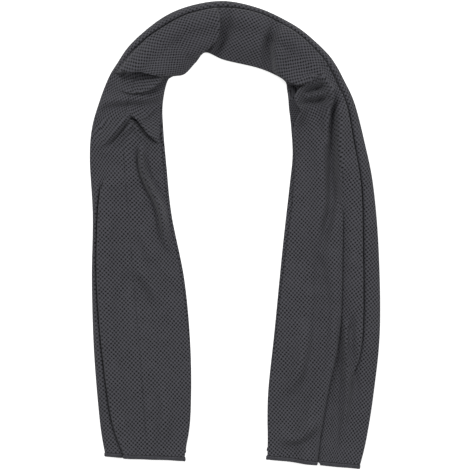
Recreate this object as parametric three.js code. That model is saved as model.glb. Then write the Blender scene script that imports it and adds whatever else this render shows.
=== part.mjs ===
import * as THREE from "three";

// A cooling towel: one long sheet of knitted mesh, folded in three along its length and laid down
// in an upside-down U. Lengths are millimetres. +Z is up from the surface that it lies on, +Y runs
// from the two ends to the bend, and the origin is on the surface, at the middle of the laid towel.

// Size of the laid towel, and the width that the cloth was cut to
const LAID_WIDTH = 291;
const LAID_LENGTH = 469;
const TOWEL_WIDTH = 300;

// The knitted cloth and the air between two layers of it
const CLOTH_THICKNESS = 1.1;
const LAYER_GAP = 0.7;

// The rolled hem across each end, and its seam gap to the cloth
const HEM_THICKNESS = 2.3;
const HEM_DEPTH = 3.8;
const HEM_SEAM_GAP = 0.4;

// How deep the two lengthwise pleats of the front lie, and how far the front takes to settle again
const STRIP_OVERLAP = 8;
const PLEAT_OVERLAP = 9;
const PLEAT_SETTLE = 16;
const LEAST_OVERLAP = 1;
const TURN_STARTS = 0.3;
const TURN_ENDS = 0.6;
const TURN_LOFT = 0.6;
const OPEN_PLEAT_SPACING = 1.5;

// How far the hidden layers, the outer strip and the notch stop short of the ends
const HIDDEN_RECESS = 8;
const STRIP_RECESS = 4;
const NOTCH_RECESS = 7;
const NOTCH_GAP = 1.2;
const NOTCH_ROUND = 3;
const RECESS_RUN = 45;

// How high the bunched cloth stands over the bend, and how high its strongest crease rises
const CROWN_HEIGHT = 6;
const CREASE_HEIGHT = 10;
const CREASE_WIDTH = 20;

// Share of a rise in the front that the layer under it follows, and the share of a crease that is
// left beside the outer edge, over how wide a border
const MIDDLE_FOLLOWS = 0.5;
const EDGE_CREASE = 0.25;
const EDGE_BORDER = 16;

// Spacing of the cross sections and of the points across them
const LEG_STEP = 38;
const BEND_STEP = 11;
const TURN_STEP = 7;
const BUNCHED = 0.55;
const FRONT_STEPS = 6;
const SIDE_STEPS = 2;
const HIDDEN_STEPS = 3;
const HEM_SIDES = 8;

const CLOTH_COLOUR = 0x424146;
const HEM_COLOUR = 0x3d3c40;

function table(columns, rows) {
  return rows.map((row) => Object.fromEntries(columns.map((name, i) => [name, row[i]])));
}

// Ribs across the band, from the left end round the bend to the right end. outer and inner are the
// two silhouettes, as shares of the laid size from its middle. The rest are shares of the band:
// inset is the front's free inner edge, strip and pleat are the edge lines of the two pleats from
// the outer silhouette, stripFold and pleatFold how far each is closed, and crown the bunching.
const RIBS = table(
  ["outerX", "outerY", "innerX", "innerY", "inset", "strip", "stripFold", "pleat", "pleatFold", "crown"],
  [
    [-0.448, -0.474, -0.170, -0.483, 0.01, 0.235, 1.0, 0.52, 0, 0.0],
    [-0.466, -0.396, -0.153, -0.385, 0.01, 0.137, 1.0, 0.50, 0, 0.1],
    [-0.486, -0.246, -0.153, -0.246, 0.01, 0.089, 1.0, 0.48, 0, 0.1],
    [-0.493, -0.097, -0.174, -0.097, 0.03, 0.058, 1.0, 0.46, 0, 0.1],
    [-0.490, 0.042, -0.218, 0.042, 0.04, 0.057, 1.0, 0.46, 0, 0.15],
    [-0.5, 0.159, -0.236, 0.148, 0.05, 0.015, 1.0, 0.46, 0, 0.3],
    [-0.493, 0.227, -0.247, 0.227, 0.05, 0.012, 1.0, 0.46, 0, 0.4],
    [-0.466, 0.287, -0.249, 0.278, 0.02, 0.012, 1.0, 0.46, 0, 0.6],
    [-0.435, 0.336, -0.235, 0.325, 0.01, 0.018, 1.0, 0.46, 0, 0.8],
    [-0.407, 0.366, -0.215, 0.339, 0.01, 0.04, 1.0, 0.46, 0, 0.9],
    [-0.356, 0.410, -0.174, 0.344, 0.01, 0.11, 1.0, 0.48, 0, 1.0],
    [-0.253, 0.463, -0.136, 0.368, 0.01, 0.16, 1.0, 0.50, 0, 1.0],
    [-0.153, 0.490, -0.101, 0.390, 0.01, 0.165, 1.0, 0.50, 0, 1.0],
    [-0.036, 0.500, -0.036, 0.374, 0.01, 0.127, 1.0, 0.46, 0, 1.0],
    [0.081, 0.485, 0.074, 0.358, 0.01, 0.10, 1.0, 0.46, 0, 1.0],
    [0.177, 0.458, 0.139, 0.342, 0.01, 0.113, 1.0, 0.46, 0, 1.0],
    [0.242, 0.432, 0.174, 0.327, 0.01, 0.12, 1.0, 0.46, 0, 1.0],
    [0.314, 0.391, 0.180, 0.308, 0.10, 0.10, 1.0, 0.44, 0, 1.0],
    [0.347, 0.364, 0.184, 0.288, 0.19, 0.11, 1.0, 0.42, 0, 0.95],
    [0.373, 0.334, 0.186, 0.270, 0.21, 0.11, 1.0, 0.40, 0, 0.9],
    [0.411, 0.283, 0.193, 0.231, 0.11, 0.09, 1.0, 0.38, 0, 0.7],
    [0.445, 0.202, 0.198, 0.169, 0.04, 0.08, 1.0, 0.37, 0, 0.5],
    [0.476, 0.106, 0.187, 0.101, 0.035, 0.09, 1.0, 0.37, 0.2, 0.3],
    [0.495, -0.033, 0.163, -0.033, 0.03, 0.143, 1.0, 0.379, 1.0, 0.15],
    [0.499, -0.204, 0.136, -0.204, 0.01, 0.168, 0.8, 0.381, 1.0, 0.1],
    [0.478, -0.336, 0.114, -0.336, 0.01, 0.20, 0.15, 0.435, 1.0, 0.1],
    [0.452, -0.438, 0.111, -0.434, 0.01, 0.25, 0, 0.469, 1.0, 0.1],
    [0.428, -0.5, 0.105, -0.479, 0.01, 0.22, 0, 0.455, 0.8, 0.0],
  ],
);

// Creases of the front. Each is a curved crest from start over bend to finish, in shares of the laid
// size. rise is a share of the crease height, left and right are the widths of its two sides, seen
// from start to finish, as shares of the crease width.
const CREASES = table(
  ["startX", "startY", "bendX", "bendY", "finishX", "finishY", "rise", "left", "right"],
  [
    [-0.442, 0.347, -0.355, 0.372, -0.225, 0.345, 0.85, 1.10, 0.28],
    [-0.490, 0.272, -0.375, 0.288, -0.245, 0.302, 0.55, 0.40, 0.40],
    [-0.356, 0.260, -0.290, 0.250, -0.265, 0.202, 0.50, 0.38, 0.38],
    [-0.368, 0.258, -0.425, 0.225, -0.470, 0.195, 0.35, 0.60, 0.40],
    [-0.356, 0.252, -0.330, 0.200, -0.304, 0.148, 0.25, 0.50, 0.50],
    [-0.063, 0.478, -0.070, 0.440, -0.118, 0.393, 0.75, 0.30, 1.00],
    [-0.053, 0.419, -0.070, 0.404, -0.088, 0.389, 0.25, 0.30, 0.30],
    [-0.010, 0.478, -0.005, 0.436, -0.043, 0.389, 0.40, 1.20, 0.30],
    [0.094, 0.449, 0.073, 0.406, 0.094, 0.359, 0.45, 0.45, 0.70],
    [0.184, 0.436, 0.156, 0.397, 0.170, 0.346, 0.50, 0.70, 0.35],
    [0.225, 0.334, 0.360, 0.345, 0.321, 0.261, 0.75, 0.30, 0.60],
    [0.170, 0.335, 0.218, 0.331, 0.266, 0.329, 0.45, 0.60, 0.22],
    [0.235, 0.304, 0.232, 0.278, 0.225, 0.240, 0.35, 0.60, 0.25],
    [-0.318, 0.168, -0.300, 0.090, -0.255, 0.010, 0.24, 0.36, 0.36],
    [-0.332, 0.042, -0.290, -0.033, -0.283, -0.108, 0.22, 0.60, 0.40],
    [0.380, 0.265, 0.380, 0.180, 0.374, 0.110, 0.35, 0.40, 0.40],
    [0.280, 0.265, 0.294, 0.180, 0.287, 0.090, 0.28, 0.40, 0.60],
    [0.300, -0.246, 0.266, -0.293, 0.218, -0.353, 0.24, 0.50, 0.50],
    [0.414, -0.204, 0.404, -0.300, 0.383, -0.417, 0.20, 0.40, 0.30],
  ],
);

const clamp = THREE.MathUtils.clamp;
const lerp = THREE.MathUtils.lerp;
const smooth = (share) => THREE.MathUtils.smoothstep(share, 0, 1);

// Value of one column between the ribs, on a smooth curve through its rows
function between(column, place) {
  const last = RIBS.length - 1;
  const row = clamp(Math.floor(place), 0, last - 1);
  const share = place - row;
  const at = (index) => RIBS[clamp(index, 0, last)][column];
  const [p, q, r, s] = [at(row - 1), at(row), at(row + 1), at(row + 2)];
  const bend = (2 * p - 5 * q + 4 * r - s) * share + (3 * q - p - 3 * r + s) * share * share;
  return q + 0.5 * share * (r - p + bend);
}

function edgePoint(side, place) {
  const x = between(side + "X", place) * LAID_WIDTH;
  const y = between(side + "Y", place) * LAID_LENGTH;
  return new THREE.Vector2(x, y);
}

function middlePoint(place) {
  return edgePoint("outer", place).add(edgePoint("inner", place)).multiplyScalar(0.5);
}

// Places of the cross sections: closer together round the bend, where the creases are, and where
// a pleat opens or closes
function sectionPlaces() {
  const places = [];
  for (let row = 0; row < RIBS.length - 1; row += 1) {
    const length = middlePoint(row).distanceTo(middlePoint(row + 1));
    const bunched = RIBS[row].crown + RIBS[row + 1].crown > BUNCHED;
    const turning = ["stripFold", "pleatFold"].some((fold) => {
      const shares = [RIBS[row][fold], RIBS[row + 1][fold]];
      return Math.min(...shares) < TURN_ENDS && Math.max(...shares) > TURN_STARTS;
    });
    const spacing = turning ? TURN_STEP : bunched ? BEND_STEP : LEG_STEP;
    const steps = Math.ceil(length / spacing);
    for (let step = 0; step < steps; step += 1) places.push(row + step / steps);
  }
  places.push(RIBS.length - 1);
  return places;
}

// Height of all creases over one point of the plan
function creaseRise(x, y) {
  let rise = 0;
  for (const crease of CREASES) {
    const start = new THREE.Vector2(crease.startX * LAID_WIDTH, crease.startY * LAID_LENGTH);
    const bend = new THREE.Vector2(crease.bendX * LAID_WIDTH, crease.bendY * LAID_LENGTH);
    const finish = new THREE.Vector2(crease.finishX * LAID_WIDTH, crease.finishY * LAID_LENGTH);
    const near = nearestOnCrest([start, bend, finish], x, y);
    const width = CREASE_WIDTH * (near.side > 0 ? crease.left : crease.right);
    const fade = Math.sqrt(Math.max(0, Math.sin(Math.PI * lerp(0.08, 0.92, near.share))));
    const across = Math.exp(-((near.distance / width) ** 2));
    rise = Math.hypot(rise, CREASE_HEIGHT * crease.rise * fade * across);
  }
  return rise;
}

// Nearest point of a crest of two straight halves, with its share of the way and its side
function nearestOnCrest(corners, x, y) {
  let best = { distance: Infinity };
  for (let half = 0; half < 2; half += 1) {
    const from = corners[half];
    const run = corners[half + 1].clone().sub(from);
    const reach = new THREE.Vector2(x, y).sub(from);
    const share = clamp(reach.dot(run) / run.lengthSq(), 0, 1);
    const distance = reach.clone().addScaledVector(run, -share).length();
    if (distance < best.distance) {
      best = { distance, share: (half + share) / 2, side: run.cross(reach) };
    }
  }
  return best;
}

// One cross section's own sizes: its two edges, band width, layer pitch and distance to each end
function sectionAt(place, leftWay, rightWay) {
  const outer = edgePoint("outer", place);
  const inner = edgePoint("inner", place);
  const nearEnd = Math.max(0, 1 - Math.min(leftWay, rightWay) / RECESS_RUN) ** 2;
  return {
    outer,
    inner,
    leftEnd: Math.max(0, 1 - leftWay / RECESS_RUN) ** 2,
    rightEnd: Math.max(0, 1 - rightWay / RECESS_RUN) ** 2,
    width: outer.distanceTo(inner),
    pitch: lerp(CLOTH_THICKNESS, HEM_THICKNESS, nearEnd) + LAYER_GAP,
    floor: lerp(CLOTH_THICKNESS, HEM_THICKNESS, nearEnd) / 2,
    inset: Math.max(0, between("inset", place)),
    strip: Math.max(0, between("strip", place)),
    stripFold: clamp(between("stripFold", place), 0, 1),
    pleat: between("pleat", place),
    pleatFold: clamp(between("pleatFold", place), 0, 1),
    crown: Math.max(0, between("crown", place)) * CROWN_HEIGHT,
  };
}

// A lengthwise pleat of the front: where its edge line is, how tall and how deep it lies here
// As its fold share grows, the cloth first steps up, then turns under, where it stands up a little
// more, and then overlaps.
function pleatAt(section, edgeShare, fold, fullOverlap) {
  const height = smooth(fold / 0.4);
  const turned = smooth((fold - TURN_STARTS) / (TURN_ENDS - TURN_STARTS));
  const overlap = lerp(LEAST_OVERLAP, fullOverlap, smooth((fold - TURN_ENDS) / (1 - TURN_ENDS)));
  const loft = 1 + TURN_LOFT * 4 * turned * (1 - turned);
  return { edge: edgeShare * section.width, height, turned, overlap, pitch: section.pitch * loft };
}

// Where the cloth over a pleat has passed the overlap and starts to settle
function settleStart(pleat) {
  const folded = pleat.overlap + pleat.pitch + CLOTH_THICKNESS / 2;
  return pleat.edge + lerp(OPEN_PLEAT_SPACING * 5.5, folded, pleat.turned);
}

// How far the cloth on the inner side of a pleat stands up, two layers over its overlap
function stackOver(pleat, across) {
  const past = (across - settleStart(pleat)) / PLEAT_SETTLE;
  return 2 * pleat.pitch * pleat.height * (1 - smooth(past));
}

// The six points of a pleat, under at its edge line and back again. Open, they lie in a row.
function pleatPoints(pleat, baseHeight) {
  const half = CLOTH_THICKNESS / 2;
  const turn = pleat.pitch / 2;
  const edge = pleat.edge + half;
  const back = edge + turn + pleat.overlap;
  const folded = [edge + turn, edge, edge + turn, back, back + turn, back];
  const levels = [2, 1.5, 1, 1, 0.5, 0];
  return folded.map((across, i) => ({
    across: lerp(pleat.edge + OPEN_PLEAT_SPACING * (4.5 - i), across, pleat.turned),
    height: baseHeight + levels[i] * pleat.pitch * pleat.height,
  }));
}

// The folded cloth's centre line in one section, from the free inner edge of the front, over the
// two pleats, round the outer fold, back under, round the inner fold and out along the bottom.
// follow is the share of the creases that a point takes; the recesses are its stop short of an end.
function foldPath(section) {
  const half = CLOTH_THICKNESS / 2;
  const turn = section.pitch / 2;
  const bottom = section.floor;
  const middle = bottom + section.pitch;
  const top = middle + section.pitch;
  const strip = pleatAt(section, section.strip, section.stripFold, STRIP_OVERLAP);
  const pleat = pleatAt(section, section.pleat, section.pleatFold, PLEAT_OVERLAP);
  const path = [];
  const put = (across, height, follow, leftRecess, rightRecess) =>
    path.push({ across, height, follow, leftRecess, rightRecess });

  const panelHeight = (across) => top + stackOver(strip, across);
  const bent = pleatPoints(pleat, panelHeight(pleat.edge));
  const freeEdge = section.width * (1 - section.inset);
  for (let step = 0; step < FRONT_STEPS; step += 1) {
    const across = lerp(freeEdge, bent[0].across, step / FRONT_STEPS);
    put(across, panelHeight(across) + stackOver(pleat, across), 1, 0, 0);
  }
  const notch = [0, 0, 0.3, 0.9, 1, 1].map((share) => share * NOTCH_RECESS);
  bent.forEach((point, i) => put(point.across, point.height, 1, 0, notch[i]));

  const sideStart = pleat.edge - NOTCH_GAP;
  const sideFrom = pleat.edge - NOTCH_GAP - NOTCH_ROUND;
  const sideTo = Math.min(settleStart(strip), sideFrom - NOTCH_GAP);
  put(sideStart, panelHeight(sideStart), 1, 0, NOTCH_RECESS);
  for (let step = 0; step <= SIDE_STEPS; step += 1) {
    const across = lerp(sideFrom, sideTo, step / SIDE_STEPS);
    put(across, panelHeight(across), 1, 0, 0);
  }
  const tucked = pleatPoints(strip, top);
  const tuck = [0, 0, 0, 0.8, 0.9, 1].map((share) => share * STRIP_RECESS);
  tucked.forEach((point, i) => put(point.across, point.height, 1, tuck[i], 0));

  const round = half + turn;
  put(round, top, 1, STRIP_RECESS, 0);
  put(half, middle + turn, (1 + MIDDLE_FOLLOWS) / 2, STRIP_RECESS, 0);
  put(round, middle, MIDDLE_FOLLOWS, STRIP_RECESS, 0);
  const farRound = section.width - round;
  for (let step = 1; step <= HIDDEN_STEPS; step += 1) {
    const across = lerp(round, farRound, step / HIDDEN_STEPS);
    put(across, middle, MIDDLE_FOLLOWS, HIDDEN_RECESS, HIDDEN_RECESS);
  }
  put(section.width - half, bottom + turn, MIDDLE_FOLLOWS / 2, HIDDEN_RECESS, HIDDEN_RECESS);

  const left = clamp(TOWEL_WIDTH - pathLength(path), 0.3 * farRound, farRound - round);
  for (let step = 0; step < HIDDEN_STEPS; step += 1) {
    const across = farRound - (left * step) / (HIDDEN_STEPS - 1);
    put(across, bottom, 0, HIDDEN_RECESS, HIDDEN_RECESS);
  }
  return path;
}

function pathLength(path) {
  let length = 0;
  for (let i = 1; i < path.length; i += 1) {
    length += Math.hypot(path[i].across - path[i - 1].across, path[i].height - path[i - 1].height);
  }
  return length;
}

// Level direction from one end of the laid towel inland, along the band
function inland(atLeft) {
  const last = RIBS.length - 1;
  const end = middlePoint(atLeft ? 0 : last);
  return middlePoint(atLeft ? 1 : last - 1).sub(end).normalize();
}

// The cloth's centre surface, a row of points for each section. The hems end the laid length, so
// the cloth stops short of both ends by a hem and its seam gap, and by each point's own recess.
function centreRows(places) {
  const endShift = HEM_DEPTH + HEM_SEAM_GAP;
  const middles = places.map(middlePoint);
  const ways = [0];
  for (let i = 1; i < places.length; i += 1) ways.push(ways[i - 1] + middles[i].distanceTo(middles[i - 1]));
  const whole = ways[ways.length - 1];
  return places.map((place, i) => {
    const section = sectionAt(place, ways[i], whole - ways[i]);
    return foldPath(section).map((point) => {
      const share = point.across / section.width;
      const plan = section.outer.clone().lerp(section.inner, share);
      plan.addScaledVector(inland(true), (endShift + point.leftRecess) * section.leftEnd);
      plan.addScaledVector(inland(false), (endShift + point.rightRecess) * section.rightEnd);
      const crown = section.crown * Math.sin(Math.PI * clamp(share, 0, 1));
      const border = (point.across - section.strip * section.width - STRIP_OVERLAP) / EDGE_BORDER;
      const crease = creaseRise(plan.x, plan.y) * lerp(EDGE_CREASE, 1, smooth(border));
      const rise = crown * point.follow + crease * point.follow ** 4;
      return new THREE.Vector3(plan.x, plan.y, point.height + rise);
    });
  });
}

// Surface normals of a grid of points, from the neighbours of each
function gridNormals(rows) {
  const rowCount = rows.length;
  const count = rows[0].length;
  return rows.map((row, i) =>
    row.map((_, j) => {
      const along = rows[Math.min(i + 1, rowCount - 1)][j].clone().sub(rows[Math.max(i - 1, 0)][j]);
      const across = row[Math.min(j + 1, count - 1)].clone().sub(row[Math.max(j - 1, 0)]);
      return across.cross(along).normalize();
    }),
  );
}

// A closed mesh from loops of points: its sides join loop to loop, and each end is a strip of faces
// between the two halves of its loop
function closedMesh(loops) {
  const size = loops[0].length;
  const positions = loops.flat().flatMap((point) => point.toArray());
  const faces = [];
  for (let i = 0; i < loops.length - 1; i += 1) {
    for (let j = 0; j < size; j += 1) {
      const here = i * size + j;
      const next = i * size + ((j + 1) % size);
      faces.push(here, next, next + size, here, next + size, here + size);
    }
  }
  const end = (loops.length - 1) * size;
  for (let j = 0; j < size / 2 - 1; j += 1) {
    const [a, b, c, d] = [j, j + 1, size - 2 - j, size - 1 - j];
    faces.push(a, d, c, a, c, b);
    faces.push(end + a, end + c, end + d, end + a, end + b, end + c);
  }
  const geometry = new THREE.BufferGeometry();
  geometry.setAttribute("position", new THREE.Float32BufferAttribute(positions, 3));
  geometry.setIndex(faces);
  return geometry;
}

// The cloth: its centre surface with half the thickness to each side
function clothGeometry(rows) {
  const normals = gridNormals(rows);
  const half = CLOTH_THICKNESS / 2;
  const loops = rows.map((row, i) => {
    const front = row.map((point, j) => point.clone().addScaledVector(normals[i][j], half));
    const back = row.map((point, j) => point.clone().addScaledVector(normals[i][j], -half));
    return [...front, ...back.reverse()];
  });
  return closedMesh(loops);
}

// One rolled hem: a rounded section swept along the folded end of the cloth
function hemGeometry(rows, atLeft) {
  const normals = gridNormals(rows);
  const end = atLeft ? 0 : rows.length - 1;
  const way = inland(atLeft);
  const along = new THREE.Vector3(way.x, way.y, 0);
  const middle = HEM_SEAM_GAP + HEM_DEPTH / 2;
  const loops = rows[end].map((point, j) => {
    const loop = [];
    for (let side = 0; side < HEM_SIDES; side += 1) {
      const angle = (2 * Math.PI * (side + 0.5)) / HEM_SIDES;
      const reach = (HEM_DEPTH / 2) * clamp(Math.cos(angle) * 1.15, -1, 1) - middle;
      const rise = (HEM_THICKNESS / 2) * clamp(Math.sin(angle) * 1.05, -1, 1);
      const corner = point.clone().addScaledVector(along, reach);
      loop.push(corner.addScaledVector(normals[end][j], rise));
    }
    return atLeft ? loop : loop.reverse();
  });
  return closedMesh(loops);
}

function piece(name, geometry, colour) {
  const material = new THREE.MeshStandardMaterial({ color: colour, roughness: 0.9, metalness: 0 });
  const mesh = new THREE.Mesh(geometry, material);
  mesh.name = name;
  return mesh;
}

const rows = centreRows(sectionPlaces());
const towel = new THREE.Group();
towel.add(piece("towel_cloth", clothGeometry(rows), CLOTH_COLOUR));
towel.add(piece("end_hem_left", hemGeometry(rows, true), HEM_COLOUR));
towel.add(piece("end_hem_right", hemGeometry(rows, false), HEM_COLOUR));

export default towel;
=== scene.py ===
import math

import bmesh
import bpy
import numpy as np
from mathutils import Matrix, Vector


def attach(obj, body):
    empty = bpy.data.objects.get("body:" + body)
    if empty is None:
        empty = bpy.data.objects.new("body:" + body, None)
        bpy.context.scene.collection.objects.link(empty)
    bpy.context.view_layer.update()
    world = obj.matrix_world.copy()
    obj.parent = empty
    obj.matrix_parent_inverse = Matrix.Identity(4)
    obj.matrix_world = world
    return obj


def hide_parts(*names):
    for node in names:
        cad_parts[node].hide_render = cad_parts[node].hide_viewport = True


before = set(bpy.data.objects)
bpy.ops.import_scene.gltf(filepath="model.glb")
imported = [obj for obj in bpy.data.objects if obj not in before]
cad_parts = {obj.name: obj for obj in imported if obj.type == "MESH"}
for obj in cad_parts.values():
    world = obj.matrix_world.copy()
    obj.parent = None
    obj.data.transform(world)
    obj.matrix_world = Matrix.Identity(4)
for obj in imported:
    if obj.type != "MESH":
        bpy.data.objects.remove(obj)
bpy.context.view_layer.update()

# The surface that the towel lies on
# A plain white studio sheet, level and wide enough to fill every view. It is a stage, not a part. Its
# glow is seen by the camera only and lights nothing.
SURFACE_SIZE = 6.0
SURFACE_WHITE = (0.8, 0.8, 0.8, 1)
SURFACE_GLOW = 0.7

bpy.ops.object.select_all(action="DESELECT")
bpy.ops.mesh.primitive_plane_add(size=SURFACE_SIZE, location=(0, 0, 0))
surface = bpy.context.object
surface.name = "surface"
surface.data.transform(surface.matrix_world)
surface.matrix_world.identity()
surface_white = bpy.data.materials.new("surface_white")
surface_white.use_nodes = True
surface_shader = surface_white.node_tree.nodes["Principled BSDF"]
surface_shader.inputs["Base Color"].default_value = SURFACE_WHITE
surface_shader.inputs["Roughness"].default_value = 0.9
surface_shader.inputs["Specular IOR Level"].default_value = 0.1
surface_shader.inputs["Emission Color"].default_value = (1, 1, 1, 1)
seen = surface_white.node_tree.nodes.new("ShaderNodeLightPath")
glow = surface_white.node_tree.nodes.new("ShaderNodeMath")
glow.operation = "MULTIPLY"
glow.inputs[1].default_value = SURFACE_GLOW
surface_white.node_tree.links.new(seen.outputs["Is Camera Ray"], glow.inputs[0])
surface_white.node_tree.links.new(glow.outputs[0], surface_shader.inputs["Emission Strength"])
surface.data.materials.append(surface_white)

# The studio light and the camera
# A large soft light over the bend, a weaker one at the side and a white room round them. The camera
# looks straight down from far above, so that the laid length just fills the frame.
ROOM_LIGHT = 0.47
FRAME_LENGTH = 0.470
CAMERA_HEIGHT = 2.6
FARTHEST_SEEN = 20
SENSOR_MM = 36
TOP_OF_CLOTH = 0.008

# Each light's name, place, width and power, in metres and watts. All of them aim at the towel.
SOFT_LIGHTS = [
    ("light_over_bend", (-1.2, 2.1, 3.0), 1.3, 69),
    ("light_at_side", (2.2, 0.2, 2.9), 1.3, 35),
]

for name, place, size, watts in SOFT_LIGHTS:
    light_data = bpy.data.lights.new(name, "AREA")
    light_data.shape = "DISK"
    light_data.size = size
    light_data.energy = watts
    light = bpy.data.objects.new(name, light_data)
    light.location = place
    light.rotation_euler = (-Vector(place)).to_track_quat("-Z", "Y").to_euler()
    bpy.context.scene.collection.objects.link(light)

world = bpy.data.worlds.new("white_room")
world.use_nodes = True
world.node_tree.nodes["Background"].inputs["Color"].default_value = (1, 1, 1, 1)
world.node_tree.nodes["Background"].inputs["Strength"].default_value = ROOM_LIGHT
bpy.context.scene.world = world
bpy.context.scene.view_settings.view_transform = "Standard"

camera_data = bpy.data.cameras.new("camera")
camera_data.sensor_width = SENSOR_MM
camera_data.lens = SENSOR_MM * (CAMERA_HEIGHT - TOP_OF_CLOTH) / FRAME_LENGTH
camera_data.clip_end = FARTHEST_SEEN
camera = bpy.data.objects.new("camera", camera_data)
camera.location = (0, 0, CAMERA_HEIGHT)
bpy.context.scene.collection.objects.link(camera)
bpy.context.scene.camera = camera

# The towel's cloth
# One sheet of polyester mesh, knitted so that rows of small holes cross on the slant. It is folded
# in three along its length, laid round in an upside-down U, and bunched where it goes round the bend.

# Lengths are in millimetres until the mesh is made
MM = 0.001
LAID_WIDTH = 291
LAID_LENGTH = 469
TOWEL_WIDTH = 300
CLOTH_THICKNESS = 1.1
LAYER_GAP = 0.7

# The hem that each end makes room for, and how deep the hem holds the cloth
HEM_THICKNESS = 2.3
HEM_DEPTH = 4.5
HEM_GRIP = 0.4

# Spacing of the sections on the legs and over the bend, which is where two ribs' crowns add up to more
# than the third value, and how high the bunched cloth stands over the bend
LEG_STEP = 5
BEND_STEP = 2.2
BUNCHED = 1.3
CROWN_HEIGHT = 7.5

# Ribs across the band, from the left end round the bend to the right end. outer and inner are the
# silhouettes as shares of the laid size. strip and pleat are edge lines as shares of the band's width,
# strip_fold and pleat_fold go from 0 for open to 1 for folded, and crown says how bunched the cloth is.
RIB_COLUMNS = ["outer_x", "outer_y", "inner_x", "inner_y", "strip", "strip_fold", "pleat",
               "pleat_fold", "crown"]
RIBS = np.array([
    [-0.448, -0.474, -0.170, -0.483, 0.235, 1.0, 0.52, 0, 0.0],
    [-0.466, -0.396, -0.153, -0.385, 0.137, 1.0, 0.50, 0, 0.2],
    [-0.486, -0.246, -0.153, -0.246, 0.089, 1.0, 0.48, 0, 0.3],
    [-0.493, -0.097, -0.174, -0.097, 0.058, 1.0, 0.46, 0, 0.35],
    [-0.490, 0.042, -0.218, 0.042, 0.07, 1.0, 0.46, 0, 0.6],
    [-0.5, 0.159, -0.236, 0.148, 0.17, 0, 0.46, 0, 0.8],
    [-0.493, 0.227, -0.247, 0.227, 0.06, 0, 0.46, 0, 0.9],
    [-0.466, 0.287, -0.249, 0.278, 0.05, 0, 0.46, 0, 0.95],
    [-0.435, 0.336, -0.235, 0.325, 0.05, 0, 0.46, 0, 1.0],
    [-0.407, 0.366, -0.215, 0.339, 0.06, 1.0, 0.46, 0, 1.0],
    [-0.356, 0.410, -0.174, 0.344, 0.11, 1.0, 0.48, 0, 1.0],
    [-0.253, 0.463, -0.136, 0.368, 0.16, 1.0, 0.50, 0, 1.0],
    [-0.153, 0.490, -0.101, 0.390, 0.165, 1.0, 0.50, 0, 1.0],
    [-0.036, 0.500, -0.036, 0.374, 0.127, 1.0, 0.46, 0, 1.0],
    [0.081, 0.485, 0.074, 0.358, 0.10, 1.0, 0.46, 0, 1.0],
    [0.177, 0.458, 0.139, 0.342, 0.113, 1.0, 0.46, 0, 1.0],
    [0.242, 0.432, 0.174, 0.327, 0.12, 1.0, 0.46, 0, 1.0],
    [0.314, 0.391, 0.180, 0.308, 0.13, 1.0, 0.44, 0, 1.0],
    [0.347, 0.364, 0.184, 0.288, 0.133, 1.0, 0.42, 0, 1.0],
    [0.373, 0.334, 0.186, 0.270, 0.134, 1.0, 0.40, 0, 1.0],
    [0.411, 0.283, 0.193, 0.231, 0.128, 1.0, 0.38, 0, 0.95],
    [0.445, 0.202, 0.198, 0.169, 0.152, 1.0, 0.37, 0, 0.9],
    [0.476, 0.106, 0.187, 0.101, 0.15, 1.0, 0.37, 0.2, 0.85],
    [0.495, -0.033, 0.163, -0.033, 0.17, 1.0, 0.379, 1.0, 0.8],
    [0.499, -0.204, 0.136, -0.204, 0.168, 0.7, 0.381, 1.0, 0.65],
    [0.478, -0.336, 0.114, -0.336, 0.20, 0.3, 0.435, 1.0, 0.45],
    [0.452, -0.438, 0.111, -0.434, 0.25, 0, 0.469, 1.0, 0.25],
    [0.428, -0.5, 0.105, -0.479, 0.22, 0, 0.455, 0.8, 0.0],
])
LAST_RIB = len(RIBS) - 1

# The front's free inner edge: place along the ribs and how far in it lies, as a share of the band
FREE_EDGE = [
    (0, 0.01), (2, 0.01), (3, 0.03), (4, 0.04), (6, 0.05), (7, 0.02), (8, 0.01), (16.3, 0.01),
    (16.6, 0.05), (17.2, 0.18), (17.6, 0.20), (18.2, 0.185), (18.7, 0.18), (19.1, 0.205),
    (19.4, 0.235), (19.6, 0.225), (19.8, 0.165), (20.1, 0.09), (20.4, 0.06), (20.9, 0.04),
    (21.7, 0.05), (22.4, 0.06), (23.5, 0.03), (25, 0.01), (27, 0.01),
]

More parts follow.
